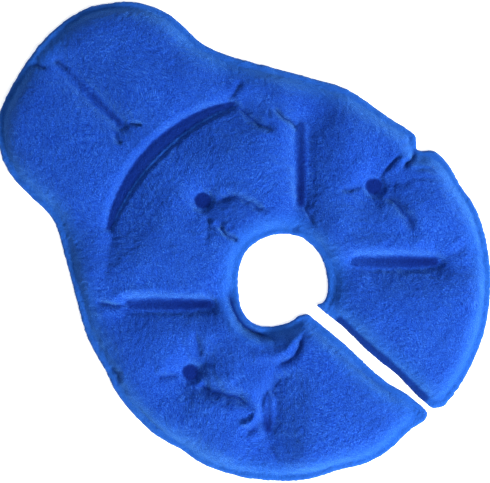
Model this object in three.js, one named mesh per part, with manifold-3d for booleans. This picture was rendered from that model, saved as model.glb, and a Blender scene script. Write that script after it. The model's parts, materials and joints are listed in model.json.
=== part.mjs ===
// A hot-and-cold gel compress for the breast: a slit ring with a round underarm lobe.
//
// A plush face cover and the film under it are welded to a plain back film round the whole
// rim, and the gel lies between the films. Pressed weld lands hold the faces together inside
// the rim: four straight bars and three dots in the ring, one bar in the lobe, and a long arc
// between ring and lobe. The pack folds along the lands, so the model is cut there into six
// rigid bodies: the core above the hole, the lobe, and a side and a flap on each hand.
//
// Millimetres, +Z up. The pack lies on its back film with the lobe towards +Y and the slit
// towards -Y. Bodies are drawn about the centre of the ring; the exported group moves them so
// that the origin is the middle of the whole outline, on the resting face.
import * as THREE from "three";
import Module from "manifold-3d";
import { mergeVertices } from "three/addons/utils/BufferGeometryUtils.js";

// ---- driving dimensions -------------------------------------------------------------------
const RING_RADIUS = 101.5;
const HOLE_RADIUS = 23;
const SLIT_WIDTH = 5.8;
const SLIT_TURN = 4.4; // degrees that the slit stands off the long axis
const SLIT_ASIDE = 2.5; // distance of the slit's middle line from the ring's centre
const SLIT_CORNER = 5; // radius of the slit's four corners

const NECK_LEAVES = 29.6; // degrees round the ring where the neck's straight side leaves it
const NECK_RADIUS = 40; // hollow curve between the neck and the lobe
const LOBE_HALF_WIDTH = 57.4;
const LOBE_TOP = 170; // from the ring's centre
const LOBE_CROWN_RADIUS = 80;
const LOBE_SHOULDER_RADIUS = 40;

const FLANGE = 4; // width of the welded rim
const BACK_FILM = 0.5;
const LAND_HEIGHT = 1.2; // of the pressed rim and weld lands
const COVER_WALL = 1.2;
const FACE_FILM = 0.4;
const GAP = 0.3; // between pieces that touch
const THICKNESS = 12;
const SHOULDER = 6; // how far in from its edge a filled chamber reaches its full height
const SHOULDER_STEPS = 4;

const LAND_WIDTH = 4; // of the bars and the arc
const BAR_FROM = 37.5; // the ring's bars, measured along the bar from the ring's centre
const BAR_TO = 76.5;
const ARC_RADIUS = 90;
const ARC_HALF_ANGLE = 29.2;
const LOBE_BAR = { x: -3, from: 112, to: 155 };
const DOT_RADIUS = 3;
const DOTS = {
  right: new THREE.Vector2(65, 0),
  left: new THREE.Vector2(-66.5, -1),
  core: new THREE.Vector2(-1, 56),
};
// How far each hand's two bars stand off the diagonals, towards the side body between them.
const HANDS = {
  right: { mirror: 1, upperBar: 9.3, lowerBar: 7.8, slitAngle: -90 + SLIT_TURN, slit: SLIT_ASIDE },
  left: { mirror: -1, upperBar: 13.5, lowerBar: 7.2, slitAngle: -90 - SLIT_TURN, slit: -SLIT_ASIDE },
};

const LOBE_FOLD_FLANK = 81; // y of the fold beside the arc land's ends
const PARENT_CLEAR = LAND_WIDTH + 1.1; // a chamber's distance from a fold that it carries
const CHILD_CLEAR = 1.2; // and from the fold that carries it
const FILM_CLEAR = 0.4;
const LAND_CLEAR = 1; // so that the rim's strips pass each other when a fold closes
const TRIM = { side: 4, neck: 8 }; // degrees left off the arcs beside a fold, for its corner
const OUTSIDE_STEPS = { side: 11, flap: 6 };
const HOLE_STEPS = { core: 9, side: 3, flap: 3 };

// ---- points in the plane ------------------------------------------------------------------
const rad = THREE.MathUtils.degToRad;
const deg = THREE.MathUtils.radToDeg;
const at = (x, y) => new THREE.Vector2(x, y);
const polar = (radius, angle) => at(radius * Math.cos(rad(angle)), radius * Math.sin(rad(angle)));
const mirrored = (points) => points.map((p) => at(-p.x, p.y)).reverse();

function arc(centre, radius, from, to, steps) {
  return Array.from({ length: steps + 1 }, (_, i) =>
    polar(radius, from + ((to - from) * i) / steps).add(centre),
  );
}

// The angle at which a line meets a circle about the ring's centre. The line runs outwards
// at the angle `along` and stands `offset` to its clockwise side.
const meets = (along, offset, radius) => along - deg(Math.asin(offset / radius));

const RING = at(0, 0);
const NECK_NORMAL = polar(1, NECK_LEAVES);
const NECK_CENTRE = at(
  LOBE_HALF_WIDTH + NECK_RADIUS,
  (RING_RADIUS + NECK_RADIUS - (LOBE_HALF_WIDTH + NECK_RADIUS) * NECK_NORMAL.x) / NECK_NORMAL.y,
);
const CROWN_CENTRE = at(0, LOBE_TOP - LOBE_CROWN_RADIUS);
const SHOULDER_X = LOBE_HALF_WIDTH - LOBE_SHOULDER_RADIUS;
const SHOULDER_CENTRE = at(
  SHOULDER_X,
  CROWN_CENTRE.y + Math.sqrt((LOBE_CROWN_RADIUS - LOBE_SHOULDER_RADIUS) ** 2 - SHOULDER_X ** 2),
);
const SHOULDER_ANGLE = deg(SHOULDER_CENTRE.clone().sub(CROWN_CENTRE).angle());
const ARC_FOLD_RADIUS = ARC_RADIUS + LAND_WIDTH / 2 + GAP + FILM_CLEAR;

// The point on the neck's straight side, moved in by `rim`, at a height y.
const neckSide = (y, rim) => at((RING_RADIUS - rim - y * NECK_NORMAL.y) / NECK_NORMAL.x, y);

// The point where an upper fold line, `offset` off the diagonal, meets the neck's side.
function foldOnNeck(offset, rim) {
  const turn = rad(45 - NECK_LEAVES);
  const along = (RING_RADIUS - rim - offset * Math.sin(turn)) / Math.cos(turn);
  return polar(along, 45).add(polar(offset, -45));
}

// ---- fold lines, as offsets from the diagonals ----------------------------------------------
// A fold runs along the far edge of its bar, so that the bar stays whole on the parent body.
const foldStandsOff = LAND_WIDTH / 2 + GAP;
const upperFold = (hand) => hand.upperBar + foldStandsOff;
const lowerFold = (hand) => -hand.lowerBar + foldStandsOff;

// ---- the free edges of each body --------------------------------------------------------------
// Each takes how far to stand in from the rim, from the folds that the body carries and from
// the fold that carries it, and gives points counter-clockwise round the body.
const holeEdge = (from, to, rim, steps) => arc(RING, HOLE_RADIUS + rim, to, from, steps);

function sideEdges(hand, { rim, parent, child }) {
  const high = upperFold(hand) + child;
  const low = lowerFold(hand) - parent;
  const outer = RING_RADIUS - rim;
  const inner = HOLE_RADIUS + rim;
  const from = meets(-45, low, outer);
  return {
    outside: [
      ...arc(RING, outer, from, NECK_LEAVES - TRIM.side, OUTSIDE_STEPS.side),
      foldOnNeck(high, rim),
    ],
    hole: holeEdge(meets(-45, low, inner), meets(45, high, inner), rim, HOLE_STEPS.side),
  };
}

function flapEdge(hand, { rim, child }) {
  const high = lowerFold(hand) + child;
  const low = hand.slit - SLIT_WIDTH / 2 - rim;
  const outer = RING_RADIUS - rim;
  const inner = HOLE_RADIUS + rim;
  const from = (radius) => meets(hand.slitAngle, low, radius);
  const to = (radius) => meets(-45, high, radius);
  return {
    hole: holeEdge(from(inner), to(inner), rim, HOLE_STEPS.flap),
    outside: arc(RING, outer, from(outer), to(outer), OUTSIDE_STEPS.flap),
  };
}

function coreEdges({ rim, parent }) {
  const { right, left } = HANDS;
  const inner = HOLE_RADIUS + rim;
  const flank = (hand) => [
    foldOnNeck(upperFold(hand) - parent, rim),
    neckSide(LOBE_FOLD_FLANK - parent, rim),
  ];
  return {
    right: flank(right),
    left: mirrored(flank(left)),
    hole: holeEdge(
      meets(45, upperFold(right) - parent, inner),
      180 - meets(45, upperFold(left) - parent, inner),
      rim,
      HOLE_STEPS.core,
    ),
  };
}

function lobeEdge({ rim, child }) {
  const neck = arc(NECK_CENTRE, NECK_RADIUS + rim, 180 + NECK_LEAVES - TRIM.neck, 180, 3);
  const shoulder = arc(SHOULDER_CENTRE, LOBE_SHOULDER_RADIUS - rim, 0, SHOULDER_ANGLE, 6);
  const crown = arc(
    CROWN_CENTRE,
    LOBE_CROWN_RADIUS - rim,
    SHOULDER_ANGLE,
    180 - SHOULDER_ANGLE,
    7,
  );
  const half = [neckSide(LOBE_FOLD_FLANK + child, rim), ...neck, ...shoulder];
  return [...half, ...crown.slice(1, -1), ...mirrored(half)];
}

// The fold between core and lobe, from the right: level beside the arc land, and round it.
function lobeFold(gap) {
  const radius = ARC_FOLD_RADIUS + gap;
  const from = deg(Math.asin((LOBE_FOLD_FLANK + gap) / radius));
  return arc(RING, radius, from, 180 - from, 9);
}

// ---- each body's outline at a given distance from its edges -----------------------------------
const handed = (hand, points) => (hand.mirror > 0 ? points : mirrored(points));

const OUTLINES = {
  core: (reach) => {
    const { right, left, hole } = coreEdges(reach);
    return [...right, ...lobeFold(-reach.parent), ...left, ...hole];
  },
  lobe: (reach) => [...lobeEdge(reach), ...lobeFold(reach.child).reverse()],
};
for (const [side, hand] of Object.entries(HANDS)) {
  OUTLINES[`${side}_side`] = (reach) => {
    const { outside, hole } = sideEdges(hand, reach);
    return handed(hand, [...outside, ...hole]);
  };
  OUTLINES[`${side}_flap`] = (reach) => {
    const { outside, hole } = flapEdge(hand, reach);
    return handed(hand, [...outside, ...hole]);
  };
}

const filmReach = { rim: 0, parent: FILM_CLEAR, child: FILM_CLEAR };
const rimReach = { rim: 0, parent: LAND_CLEAR, child: LAND_CLEAR };
const landReach = { rim: FLANGE, parent: LAND_CLEAR, child: LAND_CLEAR };
const chamberReach = (inset) => ({
  rim: FLANGE + GAP + inset,
  parent: PARENT_CLEAR + inset,
  child: CHILD_CLEAR + inset,
});

// ---- weld lands in the plane ------------------------------------------------------------------
// A bar with round ends from a to b, grown by `more`.
function barLoop(a, b, more) {
  const along = deg(b.clone().sub(a).angle());
  const radius = LAND_WIDTH / 2 + more;
  return [...arc(b, radius, along - 90, along + 90, 4), ...arc(a, radius, along + 90, along + 270, 4)];
}

const dotLoop = (centre, more) => arc(centre, DOT_RADIUS + more, 0, 330, 11);
const lobeBarLoop = (more) =>
  barLoop(at(LOBE_BAR.x, LOBE_BAR.from), at(LOBE_BAR.x, LOBE_BAR.to), more);

function arcLoop() {
  const from = 90 - ARC_HALF_ANGLE;
  const to = 90 + ARC_HALF_ANGLE;
  const half = LAND_WIDTH / 2;
  return [
    ...arc(RING, ARC_RADIUS + half, from, to, 10),
    ...arc(polar(ARC_RADIUS, to), half, to, to + 180, 4).slice(1, -1),
    ...arc(RING, ARC_RADIUS - half, to, from, 10),
    ...arc(polar(ARC_RADIUS, from), half, from + 180, from + 360, 4).slice(1, -1),
  ];
}

function ringBarLoop(hand, along, offset) {
  const foot = polar(offset, along - 90);
  const loop = barLoop(
    polar(BAR_FROM, along).add(foot),
    polar(BAR_TO, along).add(foot),
    0,
  );
  return handed(hand, loop);
}

// The land that stands inside a body's chamber.
const LANDS_INSIDE = {
  core: (more) => dotLoop(DOTS.core, more),
  right_side: (more) => dotLoop(DOTS.right, more),
  left_side: (more) => dotLoop(DOTS.left, more),
  lobe: lobeBarLoop,
};

// ---- solids -----------------------------------------------------------------------------------
const wasm = await Module();
wasm.setup();

function solidOf(geometry) {
  const bare = new THREE.BufferGeometry().setAttribute("position", geometry.getAttribute("position"));
  if (geometry.index) bare.setIndex(geometry.index);
  const merged = mergeVertices(bare, 1e-4);
  return new wasm.Manifold(
    new wasm.Mesh({
      numProp: 3,
      vertProperties: merged.getAttribute("position").array,
      triVerts: new Uint32Array(merged.index.array),
    }),
  );
}

function geometryOf(solid) {
  const { vertProperties, triVerts } = solid.getMesh();
  return new THREE.BufferGeometry()
    .setAttribute("position", new THREE.BufferAttribute(vertProperties, 3))
    .setIndex(new THREE.BufferAttribute(triVerts, 1));
}

function plate(points, bottom, height) {
  const shape = new THREE.Shape(points);
  const geometry = new THREE.ExtrudeGeometry(shape, { depth: height, bevelEnabled: false });
  return geometry.translate(0, 0, bottom);
}

// A solid skinned over levels of { z, loop }, from the lowest up, each with as many points.
function loft(levels) {
  const count = levels[0].loop.length;
  const faces = levels.slice(1).flatMap((_, k) =>
    levels[k].loop.flatMap((_, i) => {
      const a = k * count + i;
      const b = k * count + ((i + 1) % count);
      return [a, b, b + count, a, b + count, a + count];
    }),
  );
  const top = (levels.length - 1) * count;
  for (const [a, b, c] of THREE.ShapeUtils.triangulateShape(levels[0].loop, [])) faces.push(a, c, b);
  for (const [a, b, c] of THREE.ShapeUtils.triangulateShape(levels.at(-1).loop, [])) {
    faces.push(top + a, top + b, top + c);
  }
  const positions = levels.flatMap(({ z, loop }) => loop.flatMap((p) => [p.x, p.y, z]));
  return new THREE.BufferGeometry()
    .setAttribute("position", new THREE.Float32BufferAttribute(positions, 3))
    .setIndex(faces);
}

// A body's filled chamber: upright at its edge and rounded over to a flat top, with a flared
// well down to each weld land that stands inside it.
function chamber(body, inset, bottom, top) {
  const levels = Array.from({ length: SHOULDER_STEPS + 1 }, (_, i) => {
    const turn = rad((90 * i) / SHOULDER_STEPS);
    return {
      z: bottom + (top - bottom) * Math.sin(turn),
      moved: inset + SHOULDER * (1 - Math.cos(turn)),
    };
  });
  const skin = (list, loop) => solidOf(loft(list.map(({ z, moved }) => ({ z, loop: loop(moved) }))));
  const through = [
    { ...levels[0], z: bottom - 1 },
    ...levels,
    { ...levels.at(-1), z: top + 1 },
  ];
  const land = LANDS_INSIDE[body];
  const filled = skin(levels, (moved) => OUTLINES[body](chamberReach(moved)));
  return land ? filled.subtract(skin(through, (moved) => land(GAP + moved))) : filled;
}

const CHAMBER_BOTTOM = BACK_FILM + GAP;
// A shell over a chamber, open underneath.
function shell(body, inset, top, wall) {
  const outer = chamber(body, inset, CHAMBER_BOTTOM, top);
  const inner = chamber(body, inset + wall, CHAMBER_BOTTOM - 1, top - wall);
  return geometryOf(outer.subtract(inner));
}

// ---- materials and the tree ---------------------------------------------------------------------
const material = (color, roughness) => new THREE.MeshStandardMaterial({ color, roughness, metalness: 0 });
const PLUSH = material(0x1c4fc4, 0.95);
const PRESSED_PLUSH = material(0x173fa3, 0.7);
const CLEAR_FILM = material(0x3f6fd0, 0.3);
const GEL = material(0x2f62d8, 0.4);

const pack = new THREE.Group();
const whole = new THREE.Group();
whole.position.y = -(LOBE_TOP - RING_RADIUS) / 2;
pack.add(whole);

function add(name, geometry, finish) {
  const mesh = new THREE.Mesh(geometry, finish);
  mesh.name = name;
  whole.add(mesh);
}

function roundedCorner(before, corner, after, radius) {
  const [a, b] = [before, after].map((p) => {
    const side = p.clone().sub(corner);
    return corner.clone().add(side.setLength(Math.min(radius, side.length() * 0.9)));
  });
  return new THREE.QuadraticBezierCurve(a, corner, b).getPoints(3);
}

// A flap's whole free edge, from its fold at the hole round to its fold at the outside.
function flapRim(hand, reach, corner) {
  const { hole, outside } = flapEdge(hand, reach);
  const inwards = roundedCorner(hole.at(-2), hole.at(-1), outside[0], corner);
  const outwards = roundedCorner(hole.at(-1), outside[0], outside[1], corner);
  return [...hole.slice(0, -1), ...inwards, ...outwards, ...outside.slice(1)];
}

// A strip between the same free edge at the rim and at the flange's inner side.
const strip = (outer, inner) => [...outer, ...[...inner].reverse()];

function addLand(name, points) {
  add(name, plate(points, BACK_FILM + GAP, LAND_HEIGHT), PRESSED_PLUSH);
}

const FILM_INSET = COVER_WALL + GAP;
const GEL_INSET = FILM_INSET + FACE_FILM + GAP;

for (const body of Object.keys(OUTLINES)) {
  add(`face_cover_${body}`, shell(body, 0, THICKNESS, COVER_WALL), PLUSH);
  add(`face_film_${body}`, shell(body, FILM_INSET, THICKNESS - FILM_INSET, FACE_FILM), CLEAR_FILM);
  const fill = chamber(body, GEL_INSET, CHAMBER_BOTTOM, THICKNESS - GEL_INSET);
  add(`gel_fill_${body}`, geometryOf(fill), GEL);
}

add("back_film_core", plate(OUTLINES.core(filmReach), 0, BACK_FILM), CLEAR_FILM);
add("back_film_lobe", plate(OUTLINES.lobe(filmReach), 0, BACK_FILM), CLEAR_FILM);
addLand("rim_weld_lobe", strip(lobeEdge(rimReach), lobeEdge(landReach)));
const [coreRim, coreInner] = [rimReach, landReach].map(coreEdges);
for (const place of ["right", "left", "hole"]) {
  addLand(`rim_weld_core_${place}`, strip(coreRim[place], coreInner[place]));
}

for (const [side, hand] of Object.entries(HANDS)) {
  const flap = flapRim(hand, filmReach, SLIT_CORNER);
  add(`back_film_${side}_side`, plate(OUTLINES[`${side}_side`](filmReach), 0, BACK_FILM), CLEAR_FILM);
  add(`back_film_${side}_flap`, plate(handed(hand, flap), 0, BACK_FILM), CLEAR_FILM);

  const [rim, inner] = [rimReach, landReach].map((reach) => sideEdges(hand, reach));
  addLand(`rim_weld_${side}_side`, handed(hand, strip(rim.outside, inner.outside)));
  addLand(`rim_weld_${side}_side_hole`, handed(hand, strip(rim.hole, inner.hole)));
  const flapOuter = flapRim(hand, rimReach, SLIT_CORNER);
  const flapInner = flapRim(hand, landReach, SLIT_CORNER - FLANGE);
  addLand(`rim_weld_${side}_flap`, handed(hand, strip(flapOuter, flapInner)));

  addLand(`weld_bar_upper_${side}`, ringBarLoop(hand, 45, hand.upperBar));
  addLand(`weld_bar_lower_${side}`, ringBarLoop(hand, -45, -hand.lowerBar));
}

addLand("weld_arc", arcLoop());
addLand("weld_bar_lobe", lobeBarLoop(0));
addLand("weld_dot_core", dotLoop(DOTS.core, 0));
addLand("weld_dot_right", dotLoop(DOTS.right, 0));
addLand("weld_dot_left", dotLoop(DOTS.left, 0));

export default pack;
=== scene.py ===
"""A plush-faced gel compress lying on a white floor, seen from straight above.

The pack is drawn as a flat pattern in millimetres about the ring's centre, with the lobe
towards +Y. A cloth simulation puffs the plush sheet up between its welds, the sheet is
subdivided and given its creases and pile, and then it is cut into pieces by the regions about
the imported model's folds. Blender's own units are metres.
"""
import json
import math

import bpy
import numpy as np
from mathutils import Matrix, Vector
from mathutils.geometry import delaunay_2d_cdt


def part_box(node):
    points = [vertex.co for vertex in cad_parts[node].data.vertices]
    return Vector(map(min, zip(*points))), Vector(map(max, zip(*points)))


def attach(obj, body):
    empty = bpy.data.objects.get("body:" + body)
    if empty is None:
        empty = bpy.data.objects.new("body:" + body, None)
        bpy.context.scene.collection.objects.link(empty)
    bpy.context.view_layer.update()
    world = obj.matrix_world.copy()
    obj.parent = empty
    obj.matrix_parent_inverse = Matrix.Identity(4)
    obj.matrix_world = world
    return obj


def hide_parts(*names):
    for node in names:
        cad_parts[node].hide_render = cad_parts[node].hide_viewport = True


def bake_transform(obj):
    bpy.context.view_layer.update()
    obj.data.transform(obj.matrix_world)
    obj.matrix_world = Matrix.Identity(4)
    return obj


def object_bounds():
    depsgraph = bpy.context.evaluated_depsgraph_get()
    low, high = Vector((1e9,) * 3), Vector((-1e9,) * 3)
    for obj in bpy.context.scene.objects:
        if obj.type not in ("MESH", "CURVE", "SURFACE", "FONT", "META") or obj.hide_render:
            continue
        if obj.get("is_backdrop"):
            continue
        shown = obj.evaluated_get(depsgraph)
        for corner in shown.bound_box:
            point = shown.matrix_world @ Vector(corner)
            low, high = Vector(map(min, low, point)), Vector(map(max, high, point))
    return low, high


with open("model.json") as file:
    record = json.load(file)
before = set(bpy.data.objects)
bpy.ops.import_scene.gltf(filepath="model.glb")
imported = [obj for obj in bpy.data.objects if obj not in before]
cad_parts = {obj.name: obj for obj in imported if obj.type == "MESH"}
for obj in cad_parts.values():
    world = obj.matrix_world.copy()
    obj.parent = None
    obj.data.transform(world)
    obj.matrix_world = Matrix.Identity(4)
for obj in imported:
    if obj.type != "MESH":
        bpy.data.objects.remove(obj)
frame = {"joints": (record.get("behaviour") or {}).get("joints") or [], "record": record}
cad_box = [list(corner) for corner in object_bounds()]

MM = 0.001


# ---- the frame's own sizes -----------------------------------------------------------------------
def centre_of(box):
    return (np.array(box[0]) + np.array(box[1])) / 2


HOLE_BOX = frame["record"]["physics"]["openings"][0]["box_m"]
CENTRE = centre_of(HOLE_BOX) * (1, 1, 0)


def flat_box(node):
    """A CAD node's lowest and highest corners in the pattern, in millimetres."""
    lo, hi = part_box(node)
    return (np.array(lo) - CENTRE) / MM, (np.array(hi) - CENTRE) / MM


RING_RADIUS = flat_box("back_film_right_side")[1][0]
LOBE_TOP = flat_box("back_film_lobe")[1][1]
LAND_HEIGHT = flat_box("weld_arc")[1][2]
FILM_HEIGHT = flat_box("back_film_core")[1][2]
BAR_WIDTH = np.subtract(*flat_box("weld_bar_lobe")[::-1])[0]
FILL_HEIGHT = flat_box("face_cover_core")[1][2]  # the CAD cover's top


# ---- camera --------------------------------------------------------------------------------------
VIEW_CENTRE = (-0.5, 26.3)  # in the pattern
VIEW_WIDTH = 245
LENS = 85
SENSOR = 36

camera_data = bpy.data.cameras.new("camera")
camera_data.lens = LENS
camera_data.sensor_width = SENSOR
camera = bpy.data.objects.new("camera", camera_data)
bpy.context.scene.collection.objects.link(camera)
camera.location = (
    VIEW_CENTRE[0] * MM + CENTRE[0],
    VIEW_CENTRE[1] * MM + CENTRE[1],
    (FILL_HEIGHT / 2 + VIEW_WIDTH * LENS / SENSOR) * MM,
)
camera.rotation_euler = (0, 0, -math.pi / 4)
bpy.context.scene.camera = camera
bpy.context.scene.view_settings.view_transform = "Standard"


# ---- noise and small helpers ---------------------------------------------------------------------
def smooth(t):
    """A smooth step from 0 to 1."""
    t = np.clip(t, 0, 1)
    return t * t * (3 - 2 * t)


def bump(x, centre, width):
    return np.exp(-(((x - centre) / width) ** 2) / 2)


def noise(x, y, cell, seed):
    """Smooth lattice noise between -1 and 1, with lattice cells of that size."""
    table = np.random.RandomState(seed).uniform(-1, 1, (256, 256))
    x, y = x / cell, y / cell
    i, j = np.floor(x).astype(int), np.floor(y).astype(int)
    u, v = smooth(x - i), smooth(y - j)
    corner = lambda a, b: table[(i + a) % 256, (j + b) % 256]
    low = corner(0, 0) * (1 - u) + corner(1, 0) * u
    high = corner(0, 1) * (1 - u) + corner(1, 1) * u
    return low * (1 - v) + high * v


def turned(x, y, angle):
    """Coordinates along and across a direction."""
    c, s = math.cos(angle), math.sin(angle)
    return x * c + y * s, y * c - x * s


STROKE_TURNS = 8  # directions that the strokes are drawn in
STROKE_FOCUS = 12  # how sharply one direction gives way to the next


def nap(x, y):
    """Short strokes of pile that lean this way and that over the sheet, between -1 and 1."""
    lean = math.pi * (0.65 + 0.5 * noise(x, y, 38, 1) + 0.22 * noise(x, y, 13, 2))
    total, weights = np.zeros_like(x), np.zeros_like(x)
    for k in range(STROKE_TURNS):
        angle = math.pi * k / STROKE_TURNS
        weight = np.abs(np.cos(lean - angle)) ** STROKE_FOCUS
        along, across = turned(x, y, angle)
        coarse = noise(along, across * 2.2, 2.6, 10 + k)
        total += weight * (coarse + 0.8 * noise(along, across * 1.6, 1.3, 30 + k))
        weights += weight
    return total / weights


# ---- the pattern's outline -----------------------------------------------------------------------
NECK_LEAVES = math.radians(29.6)
NECK_RADIUS = 40
LOBE_HALF_WIDTH = 57.4
CROWN_RADIUS = 80
SHOULDER_RADIUS = 40
HOLE_RADIUS = 22.3
SLIT_HALF_WIDTH = 3.2
SLIT_SLOPE = math.tan(math.radians(4.4))
SLIT_START = -2.5
SLIT_TOP = -21  # where the slit's edges leave the hole
SLIT_TURNS = 74  # the depth below the ring's centre at which its edges bend in towards the rim
RIM_GAP = 0.04  # radians left between the round edges and the slit's corners
HOLE_GAP = 0.06
FINE_STEP = 0.8
BOUNDARY_STEP = 1.7

# Where the round edges stand out of their circles: the middle and the spread in degrees, and mm out.
RIM_OUT = 0.3
RIM_SWELLS = [
    (-58, 30, 3.3), (11, 10, -5.2), (-1.6, 1.5, -6.4), (-17, 4, -2.2), (-5, 4, -1.2), (148, 6, 1.2),
    (162, 4, -1.3), (194, 3.5, -1.6), (216, 16, 0.6), (241, 4, -1.4), (265, 5, -3.2),
]
HOLE_SWELLS = [(190, 22, 5.2), (-70, 14, 2), (249, 6, -1.6), (20, 6, 0.4), (100, 15, 0.5)]

# The slit's right and left edges: how far each bends at the rim and over what depth, then its
# bulges as a depth, a spread and mm across.
SLIT_EDGES = {
    1: (-1.6, 18, (60, 8, -0.7), (40, 6, 0.5)),
    -1: (1.9, 14, (44, 8, 0.5), (66, 7, -0.5)),
}

# Where the lobe leans: the height at which each shift begins, the length it takes, and mm to the right.
LEANS = [(158, 12, 6), (45, 25, -1.3), (98, 20, -2)]


def arc(centre, radius, start, end):
    """Points of a round stretch of the outline, between two angles."""
    angles = np.linspace(start, end, max(3, int(abs(end - start) * radius / BOUNDARY_STEP)))
    return np.stack([centre[0] + radius * np.cos(angles), centre[1] + radius * np.sin(angles)], 1)


def swollen(points, radius, swells, out=0):
    """The points of a circle about the origin, moved in or out where the edge has its swells."""
    angle = np.degrees(np.arctan2(points[:, 1], points[:, 0]))
    turned_from = ((angle - middle + 180) % 360 - 180 for middle, _, _ in swells)
    rises = (height * bump(turn, 0, spread) for turn, (_, spread, height) in zip(turned_from, swells))
    return points * (1 + sum(rises, out) / radius)[:, None]


def slit_edge(side):
    """Points of one long edge of the slit, from the hole to the rim."""
    y = np.linspace(SLIT_TOP, -RING_RADIUS + 1.5, 50)
    depth = -y
    bend, over, *bulges = SLIT_EDGES[side]
    x = SLIT_START + SLIT_SLOPE * depth + side * SLIT_HALF_WIDTH
    x += sum(
        (across * bump(depth, middle, spread) for middle, spread, across in bulges),
        bend * smooth((depth - SLIT_TURNS) / over),
    )
    return np.stack([x, y], 1)


def outline():
    """The pattern's one closed edge, counter-clockwise: the slit opens the hole to the rim."""
    neck = (
        LOBE_HALF_WIDTH + NECK_RADIUS,
        (RING_RADIUS + NECK_RADIUS - (LOBE_HALF_WIDTH + NECK_RADIUS) * math.cos(NECK_LEAVES))
        / math.sin(NECK_LEAVES),
    )
    crown = (0, LOBE_TOP - CROWN_RADIUS)
    shoulder_x = LOBE_HALF_WIDTH - SHOULDER_RADIUS
    shoulder = (
        shoulder_x,
        crown[1] + math.sqrt((CROWN_RADIUS - SHOULDER_RADIUS) ** 2 - shoulder_x**2),
    )
    turn = math.atan2(shoulder[1] - crown[1], shoulder[0] - crown[0])
    right_edge, left_edge = slit_edge(1), slit_edge(-1)
    right_lobe = np.concatenate(
        [
            arc(neck, NECK_RADIUS, math.pi + NECK_LEAVES, math.pi),
            arc(shoulder, SHOULDER_RADIUS, 0, turn),
            arc(crown, CROWN_RADIUS, turn, math.pi / 2)[1:],
        ]
    )
    left_lobe = right_lobe[-2::-1] * (-1, 1)
    start = math.atan2(right_edge[-1][1], right_edge[-1][0])
    end = math.atan2(left_edge[-1][1], left_edge[-1][0])
    ring_right, ring_left = (
        swollen(part, RING_RADIUS, RIM_SWELLS, RIM_OUT)
        for part in (
            arc((0, 0), RING_RADIUS, start + RIM_GAP, NECK_LEAVES),
            arc((0, 0), RING_RADIUS, math.pi - NECK_LEAVES, 2 * math.pi + end - RIM_GAP),
        )
    )
    from_angle = math.atan2(left_edge[0][1], left_edge[0][0]) - HOLE_GAP
    to_angle = math.atan2(right_edge[0][1], right_edge[0][0]) + HOLE_GAP - 2 * math.pi
    hole = swollen(arc((0, 0), HOLE_RADIUS, from_angle, to_angle), HOLE_RADIUS, HOLE_SWELLS)
    return np.concatenate([ring_right, right_lobe, left_lobe, ring_left, left_edge[::-1], hole, right_edge])


def lean(points):
    """The lobe leans a little to the left of the long axis."""
    moved = points.copy()
    moved[:, 0] += sum(shift * smooth((points[:, 1] - start) / length) for start, length, shift in LEANS)
    return moved


def resampled(loop, step):
    """A closed loop with its points set evenly, about a step apart."""
    path = np.concatenate([loop, loop[:1]])
    lengths = np.concatenate([[0], np.cumsum(np.linalg.norm(np.diff(path, axis=0), axis=1))])
    at = np.linspace(0, lengths[-1], int(round(lengths[-1] / step)) + 1)[:-1]
    return np.stack([np.interp(at, lengths, path[:, k]) for k in (0, 1)], 1)


def relaxed(loop, rounds):
    """A closed loop with its corners eased."""
    for _ in range(rounds):
        loop = loop / 2 + (np.roll(loop, 1, 0) + np.roll(loop, -1, 0)) / 4
    return loop


EDGE = resampled(relaxed(resampled(lean(outline()), FINE_STEP), 3), BOUNDARY_STEP)


# ---- distances in the pattern --------------------------------------------------------------------
def to_path(points, path):
    """Each point's distance from a path, its share of the way along it, and how far left of it."""
    best = np.full(len(points), 1e9)
    share, side = np.zeros(len(points)), np.zeros(len(points))
    lengths = np.linalg.norm(np.diff(path, axis=0), axis=1)
    starts = np.concatenate([[0], np.cumsum(lengths)])
    for k, (a, b) in enumerate(zip(path[:-1], path[1:])):
        d = b - a
        t = np.clip(((points - a) @ d) / (d @ d), 0, 1)
        away = points - a - t[:, None] * d
        distance = np.hypot(away[:, 0], away[:, 1])
        nearer = distance < best
        best[nearer] = distance[nearer]
        share[nearer] = ((starts[k] + t * lengths[k]) / starts[-1])[nearer]
        side[nearer] = ((d[0] * away[:, 1] - d[1] * away[:, 0]) / lengths[k])[nearer]
    return best, share, side


def inside(points, loop):
    """Which points lie inside a closed loop."""
    odd = np.zeros(len(points), bool)
    for (x0, y0), (x1, y1) in zip(loop, np.roll(loop, -1, 0)):
        crosses = (y0 > points[:, 1]) != (y1 > points[:, 1])
        if y0 != y1:
            odd ^= crosses & (points[:, 0] < (x1 - x0) * (points[:, 1] - y0) / (y1 - y0) + x0)
    return odd


def edge_distance(points):
    """Distance from the pattern's edge."""
    return to_path(points, np.concatenate([EDGE, EDGE[:1]]))[0]


# ---- the welds -----------------------------------------------------------------------------------
RIM_WIDTH = 2.8
ARC_OUT = 1
DOT_RADIUS = 4.1


def bar_path(node, rising):
    """The middle line of a straight weld bar, from its box."""
    lo, hi = flat_box(node)
    r = BAR_WIDTH / 2
    a, b = (lo[:2] + r, hi[:2] - r)
    return np.array([a, b]) if rising else np.array([[a[0], b[1]], [b[0], a[1]]])


def arc_path():
    lo, hi = flat_box("weld_arc")
    radius = hi[1] - BAR_WIDTH / 2 + ARC_OUT
    half = math.asin((hi[0] - BAR_WIDTH / 2) / radius)
    angles = np.linspace(math.pi / 2 - half, math.pi / 2 + half, 40)
    return radius * np.stack([np.cos(angles), np.sin(angles)], 1)


def first_share(path, share):
    """The start of a straight path: the rest of that weld doesn't show through the pile."""
    return np.array([path[0], path[0] + (path[1] - path[0]) * share])


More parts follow.
